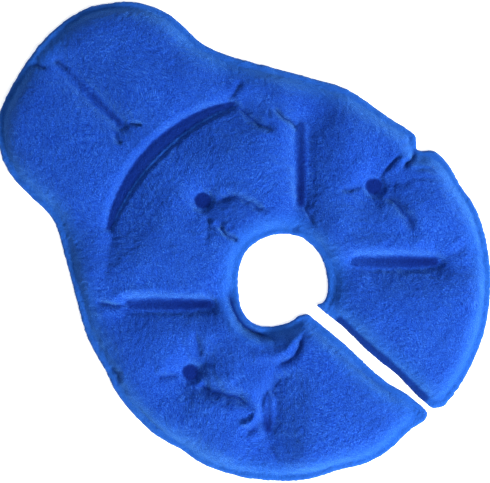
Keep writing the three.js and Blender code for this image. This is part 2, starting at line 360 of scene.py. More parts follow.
WELDS = {  # the middle line, the half width, and the share of it left at the two ends
    "upper_right": (bar_path("weld_bar_upper_right", True), BAR_WIDTH / 2 + 1.0, 0.8),
    "upper_left": (bar_path("weld_bar_upper_left", False), BAR_WIDTH / 2 + 1.5, 0.8),
    "lower_right": (bar_path("weld_bar_lower_right", False), BAR_WIDTH / 2 + 1.5, 0.8),
    "lower_left": (first_share(bar_path("weld_bar_lower_left", True), 0.42), BAR_WIDTH / 2 + 0.8, 0.8),
    "lobe": (bar_path("weld_bar_lobe", True), BAR_WIDTH / 2, 0.8),
    "arc": (arc_path(), 3.6, 0.25),
}
for name in ("core", "right", "left"):
    lo, hi = flat_box(f"weld_dot_{name}")
    spot = ((lo + hi) / 2)[:2]
    WELDS[name] = (np.array([spot, spot + (0.01, 0)]), DOT_RADIUS, 1)


def half_width(half, taper, share):
    """A land's half width at a share of the way along it."""
    return half * (taper + (1 - taper) * np.sin(np.pi * np.clip(share, 0, 1)) ** 0.6)


def weld_distance(points):
    """Distance outside the nearest weld land: negative on the land."""
    out = np.full(len(points), 1e9)
    for path, half, taper in WELDS.values():
        away, share, side = to_path(points, path)
        out = np.minimum(out, away - half_width(half, taper, share))
    return out


def weld_loop(path, half, taper):
    """A closed line round a land, a constraint of the sheet's mesh."""
    if len(path) == 2 and np.ptp(path) > 1:
        path = np.linspace(path[0], path[1], 20)
    d = path[1:] - path[:-1]
    normal = np.stack([-d[:, 1], d[:, 0]], 1) / np.linalg.norm(d, axis=1)[:, None]
    normal = np.concatenate([normal[:1], (normal[1:] + normal[:-1]) / 2, normal[-1:]])
    cap = lambda centre, n: np.array(
        [centre + half * taper * np.array(turned(n[0], n[1], t)) for t in np.linspace(0, math.pi, 9)]
    )
    out = normal * half_width(half, taper, np.linspace(0, 1, len(path)))[:, None]
    loop = np.concatenate(
        [path + out, cap(path[-1], normal[-1]), (path - out)[::-1], cap(path[0], -normal[0])]
    )
    return resampled(loop, min(1.6, half * 0.8))


# ---- the sheet's coarse mesh ---------------------------------------------------------------------
SHEET_STEP = 2.5
GRID_JITTER = 0.22  # of a step


def sheet_mesh():
    """The pattern filled with near-equal triangles, with edges along the rim and the lands."""
    inward = np.roll(EDGE, -1, 0) - np.roll(EDGE, 1, 0)
    inward = np.stack([-inward[:, 1], inward[:, 0]], 1) / np.linalg.norm(inward, axis=1)[:, None]
    rim = EDGE + inward * RIM_WIDTH
    rim = rim[edge_distance(rim) > RIM_WIDTH * 0.97]
    loops = [EDGE] + [weld_loop(*weld) for weld in WELDS.values()]
    low, high = EDGE.min(0), EDGE.max(0)
    rows = np.arange(low[1], high[1], SHEET_STEP * math.sqrt(3) / 2)
    across = np.arange(low[0], high[0], SHEET_STEP)
    grid = np.concatenate(
        [
            np.stack([across + (k % 2) * SHEET_STEP / 2, np.full(len(across), y)], 1)
            for k, y in enumerate(rows)
        ]
    )
    grid += np.random.RandomState(5).uniform(-GRID_JITTER, GRID_JITTER, grid.shape) * SHEET_STEP
    grid = grid[inside(grid, EDGE)]
    away = edge_distance(grid)
    clear = np.abs(away - RIM_WIDTH) > SHEET_STEP * 0.5
    clear &= away > SHEET_STEP * 0.55
    clear &= np.abs(weld_distance(grid)) > SHEET_STEP * 0.5
    points = np.concatenate(loops + [rim, grid[clear]])
    edges, start = [], 0
    for loop in loops:
        n = len(loop)
        edges += [(start + k, start + (k + 1) % n) for k in range(n)]
        start += n
    made = delaunay_2d_cdt([Vector(p) for p in points], edges, [], 0, 1e-4)
    flat = np.array([tuple(v) for v in made[0]])
    faces = np.array([f for f in made[2] if len(f) == 3])
    middles = flat[faces].mean(1)
    faces = faces[inside(middles, EDGE)]
    used = np.unique(faces)
    index = np.full(len(flat), -1)
    index[used] = np.arange(len(used))
    flat, faces = flat[used], index[faces]
    a, b, c = (flat[faces[:, k]] for k in range(3))
    area = (b - a)[:, 0] * (c - a)[:, 1] - (b - a)[:, 1] * (c - a)[:, 0]
    faces[area < 0] = faces[area < 0][:, ::-1]
    return flat, faces[np.abs(area) > 1e-6]


def mesh_object(name, points, faces):
    """A new mesh object in the scene, of these points and faces."""
    mesh = bpy.data.meshes.new(name)
    mesh.from_pydata(points.tolist(), [], faces.tolist())
    made = bpy.data.objects.new(name, mesh)
    bpy.context.scene.collection.objects.link(made)
    return made


def evaluated(obj):
    """The points of obj with its modifiers."""
    mesh = obj.evaluated_get(bpy.context.evaluated_depsgraph_get()).to_mesh()
    points = np.zeros(len(mesh.vertices) * 3)
    mesh.vertices.foreach_get("co", points)
    return points.reshape(-1, 3)


# ---- puffing the sheet up ------------------------------------------------------------------------
SIM_SCALE = 0.01  # the simulation works at ten times the real size
SLACK = 0.07
PRESSURE = 7
FRAMES = 26
EASING = 14  # rounds of smoothing afterwards


def eased(points, faces, held, rounds):
    """The points with small wrinkles smoothed away, and the held ones left where they are."""
    sides = np.unique(np.sort(np.concatenate([faces[:, :2], faces[:, 1:], faces[:, ::2]]), 1), axis=0)
    valence = np.bincount(sides.ravel(), minlength=len(points))[:, None]
    for _ in range(rounds):
        around = np.zeros_like(points)
        np.add.at(around, sides[:, 0], points[sides[:, 1]])
        np.add.at(around, sides[:, 1], points[sides[:, 0]])
        points = np.where(held[:, None], points, (points + around / valence) / 2)
    return points


def puffed(flat, faces):
    """The sheet's points after gel has pushed it up between its rim and lands."""
    rim, weld = edge_distance(flat), weld_distance(flat)
    held = (rim < RIM_WIDTH + 0.05) | (weld < 0.05)
    start = LAND_HEIGHT + 2.0 * smooth(np.minimum(rim - RIM_WIDTH, weld) / 10)
    start[held] = LAND_HEIGHT
    points = np.column_stack([flat, start])
    sheet = mesh_object("sheet", points * SIM_SCALE, faces)
    group = sheet.vertex_groups.new(name="held")
    group.add(np.flatnonzero(held).tolist(), 1, "REPLACE")
    cloth = sheet.modifiers.new("cloth", "CLOTH")
    settings = cloth.settings
    settings.quality = 6
    settings.mass = 0.3
    settings.tension_stiffness = 20
    settings.compression_stiffness = 12
    settings.shear_stiffness = 10
    settings.bending_stiffness = 0.8
    settings.tension_damping = 12
    settings.compression_damping = 12
    settings.air_damping = 3
    settings.vertex_group_mass = "held"
    settings.shrink_min = -SLACK
    settings.use_pressure = True
    settings.uniform_pressure_force = PRESSURE
    settings.effector_weights.gravity = 0
    cloth.collision_settings.use_collision = False
    cloth.point_cache.frame_end = FRAMES
    for number in range(1, FRAMES + 1):
        bpy.context.scene.frame_set(number)
    points = evaluated(sheet) / SIM_SCALE
    bpy.data.objects.remove(sheet)
    bpy.context.scene.frame_set(1)
    return eased(points, faces, held, EASING)


# ---- refining the sheet --------------------------------------------------------------------------
def subdivided(values, faces):
    """One round of Loop subdivision of every column of values."""
    n = len(values)
    sides = np.concatenate([faces[:, [0, 1]], faces[:, [1, 2]], faces[:, [2, 0]]])
    opposite = np.concatenate([faces[:, 2], faces[:, 0], faces[:, 1]])
    edges, which, count = np.unique(np.sort(sides, 1), axis=0, return_inverse=True, return_counts=True)
    which = which.reshape(-1)
    ends = values[edges[:, 0]] + values[edges[:, 1]]
    across = np.zeros((len(edges), values.shape[1]))
    np.add.at(across, which, values[opposite])
    open_edge = count == 1
    middles = np.where(open_edge[:, None], ends / 2, ends * 0.375 + across * 0.125)
    around, valence = np.zeros_like(values), np.zeros(n)
    for k in (0, 1):
        np.add.at(around, edges[:, k], values[edges[:, 1 - k]])
        np.add.at(valence, edges[:, k], 1)
    beta = (0.625 - (0.375 + 0.25 * np.cos(2 * np.pi / valence)) ** 2) / valence
    moved = values * (1 - valence * beta)[:, None] + around * beta[:, None]
    rim_around = np.zeros_like(values)
    for k in (0, 1):
        np.add.at(rim_around, edges[open_edge, k], values[edges[open_edge, 1 - k]])
    rim = np.unique(edges[open_edge])
    moved[rim] = values[rim] * 0.75 + rim_around[rim] * 0.125
    m = which.reshape(3, -1).T + n
    faces = np.concatenate(
        [
            m,
            np.stack([faces[:, 0], m[:, 0], m[:, 2]], 1),
            np.stack([faces[:, 1], m[:, 1], m[:, 0]], 1),
            np.stack([faces[:, 2], m[:, 2], m[:, 1]], 1),
        ]
    )
    return np.concatenate([moved, middles]), faces


def near(points, path, margin):
    """Indices of the points within margin of a path's box."""
    low, high = path.min(0) - margin, path.max(0) + margin
    return np.flatnonzero(((points > low) & (points < high)).all(1))


def curve(*marks):
    """A smooth path through a few given marks."""
    marks = np.array(marks, float)
    if len(marks) == 2:
        return np.linspace(marks[0], marks[1], 8)
    ends = np.concatenate([[2 * marks[0] - marks[1]], marks, [2 * marks[-1] - marks[-2]]])
    out = []
    for a, b, c, d in zip(ends, ends[1:], ends[2:], ends[3:]):
        for t in np.linspace(0, 1, 6, endpoint=False):
            out.append(((2 * b) + (c - a) * t + (2 * a - 5 * b + 4 * c - d) * t**2
                        + (3 * b - a - 3 * c + d) * t**3) / 2)
    return np.array(out + [marks[-1]])


# Creases and ridges that the gel leaves in the plush: marks in the pattern, then in mm the depth
# (below nothing for a ridge), the half width, and the depth of the sharp line along its middle.
CREASES = [
    # about the lobe's bar
    (((-14, 164.5), (-12, 163), (-10, 158)), 1.0, 1.3, 0.5),
    (((-4, 159.5), (-3, 155), (-2.4, 150)), 1.0, 1.3, 0.7),
    (((0.8, 110.5), (2.5, 107), (4, 104)), 1.0, 1.2, 0.7),
    (((-8.5, 111.5), (-9.8, 108), (-9.8, 104)), 0.8, 1.3, 0.4),
    (((-7.2, 146), (-7.4, 132), (-7.2, 118)), 0.6, 2.2, 0),
    # at the arc's ends
    (((42, 82.5), (48, 82.8), (56, 84.5)), 0.8, 1.4, 0.3),
    (((43, 79), (44.5, 72), (44.8, 64), (49, 54.5)), 1.4, 2.0, 0.4),
    (((-42, 78), (-49, 72.5), (-57, 66), (-64, 60)), 0.5, 2.8, 0.1),
    # about the bar between core and right side
    (((56, 65), (56.2, 58), (57.3, 53), (57.6, 47)), 1.2, 1.2, 0.9),
    (((33, 19), (31.8, 13), (29.5, 6.5)), 0.6, 1.2, 0.5),
    (((34.5, 18.5), (38, 14)), 0.5, 1.3, 0.2),
    # about the right dot, and in from the notch
    (((65.2, -4), (66.3, -12), (65.6, -21), (63, -31)), 1.6, 2.5, 0.3),
    (((62, 3.5), (56, 7), (51, 11.5)), 0.9, 1.6, 0.3),
    (((56, 11), (65, 13), (74, 11)), -0.7, 3.8, 0),
    (((68.5, 0.8), (77, 2.3), (84.5, 2)), 0.45, 1.1, 0.5),
    (((80.5, -3.6), (88, -3.3), (94.5, -1)), 0.8, 1.2, 0.9),
    (((74, -1.5), (82, -0.8), (90, 1)), -0.5, 1.8, 0),
    (((70.5, -4), (75, -8), (79, -12)), 0.4, 1.8, 0),
    (((83, -8), (88, -11), (91, -16)), 0.3, 1.2, 0.1),
    (((79, -9), (84, -14), (87, -20)), 0.25, 1.2, 0.1),
    # about the core's dot
    (((1, 53), (5, 50), (11.5, 47), (16, 36), (18.5, 28)), 1.2, 2.1, 0.3),
    (((-3.3, 43), (-4.6, 37), (-2.5, 28)), 1.1, 1.2, 0.8),
    (((-7, 46), (-4, 43.5)), -0.7, 1.5, 0),
    (((-11, 62), (-4, 64.5), (4, 63)), -0.6, 3.4, 0),
    (((-4, 50), (-9, 45), (-16, 40)), 0.5, 1.8, 0.1),
    # about the bar between core and left side
    (((-66, 46), (-70, 50.5), (-74, 58)), 1.5, 1.8, 0.5),
    (((-72, 56), (-67, 53), (-57, 48), (-45, 36), (-37, 28)), -0.9, 3.6, 0),
    # about the left dot
    (((-50.5, 11.5), (-54, 7), (-57, 1)), 1.0, 1.9, 0.2),
    (((-70.5, 3), (-75, 6), (-80, 10)), 0.9, 1.7, 0.2),
    (((-78, 13), (-68, 12), (-60, 8)), -0.8, 3.8, 0),
    (((-67.5, -6), (-66, -13), (-62, -21), (-58, -28), (-57.5, -35)), 2.3, 3.0, 0.5),
    (((-59, -2), (-56, -12), (-53, -21)), -0.9, 3.2, 0),
    (((-66.5, -35), (-63, -39), (-58, -38.5), (-53, -35.5)), -2.0, 1.8, 0),
    (((-68.5, -40), (-62, -43.8), (-57, -43)), 1.2, 1.8, 0.2),
    # past the bars between the sides and the flaps
    (((-63.5, -53), (-65, -58), (-66, -63)), 0.8, 1.4, 0.2),
    (((-50, -39.5), (-42, -35), (-34, -31)), 1.0, 3.0, 0),
    (((62, -50), (68, -51.5), (76, -54)), 0.8, 2.2, 0.2),
    (((34, -11), (41, -17.5), (52, -28.5), (60, -35), (67, -41.5)), -1.1, 4.2, 0),
    # about the hole
    (((-22, 17), (-27, 10), (-30.5, 2), (-31, -5), (-28.5, -13), (-24.5, -19.5)), 2.2, 1.8, 1.0),
    (((-40, -13), (-36.5, -19), (-30, -24.5), (-23, -27), (-15, -25), (-11, -22.5)), -1.2, 3.2, 0),
    (((-25, -18), (-20, -20.5), (-12, -19.5)), -1.1, 3.0, 0),
    (((-36, -27.5), (-30, -30.3), (-24, -31.5), (-17, -29.2), (-12, -26.5)), 1.0, 1.8, 0.5),
    (((20, 14.5), (24, 12)), 0.6, 1.4, 0.2),
    (((-27, 21), (-34, 9), (-36, -3), (-33, -13), (-29, -19)), -0.8, 2.8, 0),
    # along the rim and the slit
    (((-93, 30), (-92, 25), (-95, 20)), 1.0, 1.4, 0.3),
    (((-97, 8), (-97.3, -4), (-96, -15)), 0.6, 0.9, 0.3),
    (((-8.5, -23), (-8, -50), (-4.5, -70), (-3.8, -88)), 0.7, 1.8, 0.3),
    (((96, 6), (92, 3.8), (88, 6)), 0.5, 1.1, 0.2),
]
LINE_WIDTH = 0.75  # of the sharp line along a crease's middle
CREASE_TAPER = 0.3  # the share of a crease over which each of its ends fades out
SLIT_SHADE_PATH = curve((5, -36), (5.5, -50), (7, -65), (7.4, -80), (7.8, -93))  # painted shade along the slit's right edge, carried as pressed pile


def relief(flat):
    """How far each point sinks in the creases, less the ridges' height, and how much painted shade darkens
    it along the creases.
    """
    total, painted_crease_shade = np.zeros(len(flat)), np.zeros(len(flat))
    for marks, depth, width, core in CREASES:
        path = curve(*marks)
        at = near(flat, path, width * 4)
        away, share, side = to_path(flat[at], path)
        ends = smooth(share / CREASE_TAPER + 0.12) * smooth((1 - share) / CREASE_TAPER + 0.12)
        wander = 1 + 0.25 * noise(flat[at, 0], flat[at, 1], 5, 91)
        valley = np.exp(-((away / width) ** 2))
        # a sunken crease is also given painted shade along its valley and its sharp line
        if depth > 0:
            valley -= 0.25 * np.exp(-(((away - 2.4 * width) / width) ** 2))
            broad = 0.35 * min(depth, 1.6) * np.exp(-((away / width) ** 2))
            dark = ends * (broad + 0.5 * core * np.exp(-((away / 1.2) ** 2)))
            painted_crease_shade[at] = np.maximum(painted_crease_shade[at], dark)
        line = np.exp(-((away / LINE_WIDTH) ** 2))
        total[at] += ends * (depth * wander * valley + core * line)
    return total, painted_crease_shade


# How the plush stands round each land: the crest beyond its left and right edges as its path runs,
# where across the land it is deepest, from -1 at the right edge to 1 at the left, and how hard it is
# pressed at its start and its end, which darkens its pile as flattened pile and painted shade.
LAND_LOOKS = {
    "upper_right": (0.0, -0.3, 0.3, 1.0, 0.65),
    "upper_left": (0.6, 0.1, 0.3, 0.75, 1.0),
    "lower_right": (0.7, 0.1, 0.5, 0.65, 1.0),
    "lower_left": (0.1, -0.3, 0.0, 1.0, 0.1),
    "lobe": (0.1, 0.1, -0.2, 0.8, 0.5),
    "arc": (0.3, 0.7, -1.0, 0.85, 0.85),
    "core": (0.3, 0.3, 0.0, 1, 1),
    "right": (0.3, 0.3, 0.0, 1, 1),
    "left": (0.3, 0.3, 0.0, 1, 1),
}

# How far the sheet hangs low beside a land, by what share of its height, and on which side: 1 for
# the left as its path runs, -1 for the right and 0 for both.
SAGS = {
    "arc": (26, 0.5, 1),
    "upper_right": (20, 0.45, -1),
    "lower_left": (20, 0.45, -1),
    "upper_left": (14, 0.25, -1),
    "lower_right": (14, 0.25, -1),
    "core": (14, 0.3, 0),
    "right": (14, 0.3, 0),
    "left": (14, 0.3, 0),
}
NO_SAG = (1, 0, 0)
SOFTNESS = {"arc": 1.0, "core": 1.4, "right": 1.4, "left": 1.4}  # mm over which the pressing fades
BAR_SOFTNESS = 2.7
CREST_OUT, CREST_SPREAD = 3.4, 2.2  # where the crest stands beyond a land's edge
FAINT_RISE = 3.2  # how far a land that is hardly pressed is raised to meet the plush round it
GROOVE_DEPTH, GROOVE_SPREAD = 0.5, 0.45  # the groove's spread is in half widths of the land
LIP_HEIGHT, LIP_SPREAD = 0.4, 0.7  # the lip along the arc's inner edge
BANK_RISE, BANK_LEVEL, BANK_FALL = 3.2, 3.5, 11  # the broad bank beyond a land
RAGGED = 0.4  # how far a land's edge wanders
LAND_REACH = 34  # no land changes the sheet further from it than this


def lands(flat):
    """What the lands add to the height, how flat they press the pile and how much painted shade darkens it
    there and by the slit, the arc's lip, and the sag.
    """
    height, pressed_and_shade, lip, sag = (np.zeros(len(flat)) for _ in range(4))
    for name, (path, half, taper) in WELDS.items():
        left, right, deepest, first, last = LAND_LOOKS[name]
        at = near(flat, path, LAND_REACH)
        away, share, side = to_path(flat[at], path)
        width = half_width(half, taper, share)
        beyond = away - width + RAGGED * noise(flat[at, 0], flat[at, 1], 1.5, 77)
        leftness = smooth(0.5 + 0.7 * side / np.maximum(away, 1))
        crest = right + (left - right) * leftness
        ends = smooth(share / 0.12) * smooth((1 - share) / 0.12)
        if len(path) == 2 and np.ptp(path) < 1:
            crest, ends = left, 1
        strength = first + (last - first) * smooth(share)
        bank = (0.5 + crest) * smooth(beyond / BANK_RISE) * (1 - smooth((beyond - BANK_LEVEL) / BANK_FALL))
        height[at] += FAINT_RISE * (1 - strength) * smooth((2.5 - beyond) / 4) * (name != "arc")
        height[at] += bank + crest * ends * np.exp(-(((beyond - CREST_OUT) / CREST_SPREAD) ** 2))
        groove = np.exp(-(((side / width - deepest) / GROOVE_SPREAD) ** 2)) * (away < width * 1.3)
        height[at] -= GROOVE_DEPTH * ends * groove
        softness = SOFTNESS.get(name, BAR_SOFTNESS)
        # pressed pile on the land, darkened in the shader partly as painted shade in the weld's recess
        pressed_and_shade[at] = np.maximum(pressed_and_shade[at], strength * smooth((0.8 - beyond) / softness))
        if name == "arc":
            # the lip is raised, and in the shader it is painted lighter as a painted highlight along its
            # edge
            lip[at] = ends * np.exp(-(((side - width) / LIP_SPREAD) ** 2))
            height[at] += LIP_HEIGHT * lip[at]
            pressed_and_shade[at] *= 1 - lip[at]
        reach, drop, low_side = SAGS.get(name, NO_SAG)
        facing = {1: leftness, -1: 1 - leftness, 0: 1}[low_side]
        slope = (1 - smooth((beyond - 1) / reach)) * facing
        sag[at] = np.maximum(sag[at], drop * slope)
    # painted shade: the pile along the slit's right edge is darkened as if pressed
    away = to_path(flat, SLIT_SHADE_PATH)[0]
    pressed_and_shade = np.maximum(pressed_and_shade, 0.85 * smooth((3.4 - away) / 2.2))
    return height, pressed_and_shade, lip, sag


PLUSH = 1.2  # the plush sheet's thickness, with its pile
FLANGE_HEIGHT = FILM_HEIGHT + PLUSH
RELIEF = 1.25
FULL_LOFT, LOFT_SCALE = 9.6, 5.6  # the sheet rises steeply from a weld, then levels out
ROLL = 1.6  # how far in from the rim the pile rolls down to the film
PILE = 0.26  # how far the strokes of the nap stand up
SHOULDER, SHOULDER_RISE, SHOULDER_FALL = 0.9, 5, 16  # how the sheet stands up just inside the rim
RIM_SHEEN_PAINT, RIM_SHEEN_REACH = 0.85, 11  # painted sheen: how much lighter the plush is painted by the rim, and how far in
FLANGE_SINK = 0.45  # the deepest that a crease goes below the flange
LEAST_PLUSH = 0.15
FRINGE = 1.2  # how far in from the edge the pile leans out


def loft(high, sag):
    """The sheet's height over the lands, from the inflated sheet's height and its sag beside them."""
    return FULL_LOFT * (1 - np.exp((LAND_HEIGHT - high) / LOFT_SCALE)) * (1 - sag)


def shell(top, bottom, faces):
    """The points and faces of a closed body between two sheets with the same faces."""
    n = len(top)
    sides = np.concatenate([faces[:, [0, 1]], faces[:, [1, 2]], faces[:, [2, 0]]])
    _, which, count = np.unique(np.sort(sides, 1), axis=0, return_inverse=True, return_counts=True)
    open_side = count[which.reshape(-1)] == 1
    a, b = sides[open_side].T
    walls = np.concatenate([np.stack([a, a + n, b + n], 1), np.stack([a, b + n, b], 1)])
    return np.concatenate([top, bottom]), np.concatenate([faces, faces[:, ::-1] + n, walls])


def normals(points, faces):
    """The direction each point of a mesh faces."""
    a, b, c = (points[faces[:, k]] for k in range(3))
    face = np.cross(b - a, c - a)
    out = np.zeros_like(points)
    for k in range(3):
        np.add.at(out, faces[:, k], face)
    return out / np.maximum(np.linalg.norm(out, axis=1), 1e-12)[:, None]


# ---- pieces --------------------------------------------------------------------------------------
def placed(points):
    """Pattern millimetres to the frame's metres."""
    return points * MM + CENTRE


def joint(name):
    """A fold's middle in the pattern and the level direction from its parent to its child."""
    made = next(j for j in frame["joints"] if j["name"] == name)
    axis = np.array(made["axis"])
    return (np.array(made["pos_m"]) - CENTRE) / MM, np.cross(axis, (0, 0, 1)) * (-1, -1, 0)


SPLIT_MIDDLE = -2
SPLIT_RIGHT = -3
SPLIT_LEFT = -5
SPLIT_LOBE = 70
REGIONS = {
    "lobe": ("core", "lobe", "lobe_fold", -10, 10),
    "right_upper": ("core", "right_side", "right_fold", -6.5, 5.2),
    "left_upper": ("core", "left_side", "left_fold", -7, 4.5),
    "right_lower": ("right_side", "right_flap", "right_flap_fold", -6.5, 6.5),
    "left_lower": ("left_side", "left_flap", "left_flap_fold", -6.3, 6.5),
}


def regions(flat):
    """Which region each pattern point belongs to."""
    x, y = flat[:, 0], flat[:, 1]
    out = np.where(x > SPLIT_MIDDLE, "right_upper", "left_upper")
    slit = SLIT_START - SLIT_SLOPE * y
    out = np.where((x > slit) & (y < SPLIT_RIGHT), "right_lower", out)
    out = np.where((x <= slit) & (y < SPLIT_LEFT), "left_lower", out)
    return np.where(y > SPLIT_LOBE, "lobe", out)


def piece(name, points, faces, shading, pattern, values):
    """A mesh object of the faces given, with the sheet's shading, rest pattern and point values."""
    used = np.unique(faces)
    index = np.zeros(len(points), int)
    index[used] = np.arange(len(used))
    made = mesh_object(name, placed(points[used]), index[faces])
    mesh = made.data
    for key, data in values.items():
        attribute = mesh.attributes.new(key, "FLOAT", "POINT")
        attribute.data.foreach_set("value", data[used].astype(np.float32))
    rest = np.column_stack([pattern[used], points[used, 2]]).astype(np.float32)
    mesh.attributes.new("pattern", "FLOAT_VECTOR", "POINT").data.foreach_set("vector", rest.ravel())
    mesh.polygons.foreach_set("use_smooth", np.ones(len(mesh.polygons), bool))
    mesh.normals_split_custom_set_from_vertices(shading[used].tolist())
    return made


def pieces_of(label, top, bottom, faces, pattern, values, material):
    """The closed sheet cut into its regions."""
    points, closed = shell(top, bottom, faces)
    shading = normals(points, closed)
    both = np.concatenate([pattern, pattern])
    doubled = {key: np.concatenate([data, data]) for key, data in values.items()}
    region = regions(pattern[faces].mean(1))
    out = {}
    for name, (parent, child, fold, start, end) in REGIONS.items():
        mine = faces[region == name]
        own = shell(top, bottom, mine)[1]
        made = piece(f"{label}_{name}", points, own, shading, both, doubled)
        made.data.materials.append(material)
        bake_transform(made)
        out[name] = made
    return out


# ---- materials -----------------------------------------------------------------------------------
class Shader:
    """A Principled material whose nodes are added by short calls."""

    def __init__(self, name, **values):
        self.material = bpy.data.materials.new(name)
        self.material.use_nodes = True
        self.tree = self.material.node_tree
        self.main = next(n for n in self.tree.nodes if n.type == "BSDF_PRINCIPLED")
        for key, value in values.items():
            self.main.inputs[key.replace("_", " ")].default_value = value

    def node(self, kind, inputs=(), **settings):
        made = self.tree.nodes.new(kind)
        for key, value in settings.items():
            setattr(made, key, value)
        for key, value in dict(inputs).items():
            if isinstance(value, bpy.types.NodeSocket):
                self.tree.links.new(value, made.inputs[key])
            else:
                made.inputs[key].default_value = value
        return made

    def attribute(self, name, output="Fac"):
        return self.node("ShaderNodeAttribute", attribute_name=name).outputs[output]

    def stretch(self, vector, scale, turn=0.0):
        inputs = {"Vector": vector, "Scale": scale, "Rotation": (0, 0, turn)}
        return self.node("ShaderNodeMapping", inputs).outputs["Vector"]

    def noise(self, vector, scale, detail=2.0, output="Fac"):
        inputs = {"Vector": vector, "Scale": scale, "Detail": detail, "Roughness": 0.55}
        return self.node("ShaderNodeTexNoise", inputs).outputs[output]

    def math(self, operation, a, b=0.0):
        return self.node("ShaderNodeMath", {0: a, 1: b}, operation=operation).outputs[0]

    def vector_math(self, operation, inputs):
        return self.node("ShaderNodeVectorMath", inputs, operation=operation).outputs[0]

    def ramp(self, value, *stops):
        made = self.node("ShaderNodeValToRGB", {"Fac": value})
        marks = made.color_ramp.elements
        while len(marks) < len(stops):
            marks.new(0.5)
        for mark, (position, colour) in zip(marks, stops):
            mark.position = position
            mark.color = (*colour, 1)
        return made.outputs["Color"]

    def mix(self, share, a, b, blend="MIX"):
        made = self.node("ShaderNodeMix", data_type="RGBA", blend_type=blend)
        for key, value in ((0, share), (6, a), (7, b)):
            if isinstance(value, bpy.types.NodeSocket):
                self.tree.links.new(value, made.inputs[key])
            else:
                made.inputs[key].default_value = (*value, 1) if hasattr(value, "__len__") else value
        return made.outputs[2]

    def warped(self, vector, cell, reach):
        """The vector pushed about by slow noise, so that what is drawn on it swirls."""
        drift = self.noise(vector, 1 / cell, 1.0, "Color")
        centred = self.vector_math("SUBTRACT", {0: drift, 1: (0.5, 0.5, 0.5)})
        scaled = self.vector_math("SCALE", {0: centred, "Scale": reach})
        return self.vector_math("ADD", {0: vector, 1: scaled})

    def bump(self, height, distance, strength=1.0):
        inputs = {"Height": height, "Distance": distance, "Strength": strength}
        return self.node("ShaderNodeBump", inputs).outputs["Normal"]

    def feed(self, **values):
        for key, value in values.items():
            self.tree.links.new(value, self.main.inputs[key.replace("_", " ")])


def plush_material():
    """Royal-blue short pile: strokes that swirl with its nap, darker and flatter where it is welded."""
    s = Shader("plush", Roughness=0.85, Sheen_Roughness=0.35)
    s.main.inputs["Sheen Tint"].default_value = (0.12, 0.42, 1, 1)
    s.main.inputs["Specular IOR Level"].default_value = 0.05
    pattern = s.attribute("pattern", "Vector")
    swirl = s.warped(pattern, 38, 45)
    long = s.noise(s.stretch(swirl, (2.8, 1.1, 0.8), 0.5), 1.0, 2.0)
    short = s.noise(s.stretch(pattern, (2.2, 1.4, 1.1), -0.6), 1.0, 2.0)
    patches = s.noise(pattern, 0.075, 3.0)
    strokes = s.math("ADD", s.math("MULTIPLY", long, 0.5), s.math("MULTIPLY", short, 0.5))
    tone = s.math("ADD", s.math("MULTIPLY", strokes, 0.8), s.math("MULTIPLY", patches, 0.1))
    pile = s.ramp(
        tone,
        (0.295, (0.001, 0.014, 0.18)),
        (0.425, (0.006, 0.046, 0.35)),
        (0.505, (0.012, 0.072, 0.43)),
        (0.615, (0.038, 0.160, 0.60)),
    )
    # the pressed pile's colour: flattened pile, dark enough to carry painted shade in the lands and by the
    # slit
    flat = s.ramp(short, (0.35, (0.001, 0.010, 0.12)), (0.7, (0.003, 0.020, 0.18)))
    # the flange's own lighter colour, also used for a painted sheen by the rim and a painted highlight on
    # the arc's lip
    flange_and_sheen = s.mix(s.math("MULTIPLY", s.attribute("flange_and_sheen"), 0.5), pile, (0.014, 0.11, 0.46))
    pressed_and_shade = s.attribute("pressed_and_shade")
    pile_with_sheen_and_shade = s.mix(pressed_and_shade, flange_and_sheen, flat)
    s.feed(Sheen_Weight=s.math("SUBTRACT", 0.6, s.math("MULTIPLY", pressed_and_shade, 0.5)))
    # painted shade: the pile is darkened along the creases
    s.feed(Base_Color=s.mix(s.attribute("painted_crease_shade"), pile_with_sheen_and_shade, (0.001, 0.014, 0.14)))
    fine = s.noise(s.stretch(pattern, (4.2, 2.6, 2), 0.2), 1.0, 1.0)
    height = s.math("ADD", strokes, s.math("MULTIPLY", fine, 0.5))
    s.feed(Normal=s.bump(height, 0.0011, 0.9))
    return s.material


def film_material():
    """The back: glossy blue film, faintly embossed, with gel of uneven depth behind it."""
    s = Shader("film", Coat_Weight=0.08, Coat_Roughness=0.2)
    s.main.inputs["Specular IOR Level"].default_value = 0.22
    pattern = s.attribute("pattern", "Vector")
    cloud = s.noise(pattern, 0.06, 4.0)
    s.feed(Base_Color=s.ramp(cloud, (0.35, (0.012, 0.1, 0.42)), (0.65, (0.03, 0.2, 0.62))))
    grain = s.noise(pattern, 1.1, 2.0)
    wrinkle = s.noise(s.stretch(s.warped(pattern, 20, 18), (0.3, 0.09, 0.2), 0.4), 1.0, 2.0)
    s.feed(Roughness=s.math("ADD", s.math("MULTIPLY", grain, 0.25), 0.3))
    s.feed(Normal=s.bump(s.math("ADD", s.math("MULTIPLY", grain, 0.12), wrinkle), 0.0012, 0.6))
    return s.material


def gel_material():
    """Clear blue gel with small bubbles."""
    s = Shader("gel", Roughness=0.15, Transmission_Weight=0.4, IOR=1.38)
    pattern = s.attribute("pattern", "Vector")
    bubbles = s.node("ShaderNodeTexVoronoi", {"Vector": pattern, "Scale": 0.35}).outputs["Distance"]
    s.feed(Base_Color=s.ramp(bubbles, (0.05, (0.35, 0.6, 0.95)), (0.2, (0.02, 0.22, 0.8))))
    s.feed(Normal=s.bump(s.noise(pattern, 0.3, 3.0), 0.0008, 0.5))
    return s.material


# ---- the pack ------------------------------------------------------------------------------------
flat, coarse_faces = sheet_mesh()
high = puffed(flat, coarse_faces)
columns = np.column_stack([flat, high, edge_distance(flat)])
faces = coarse_faces
for _ in range(2):
    columns, faces = subdivided(columns, faces)
pattern, body, rim = columns[:, :2], columns[:, 2:5], columns[:, 5]
x, y = pattern.T

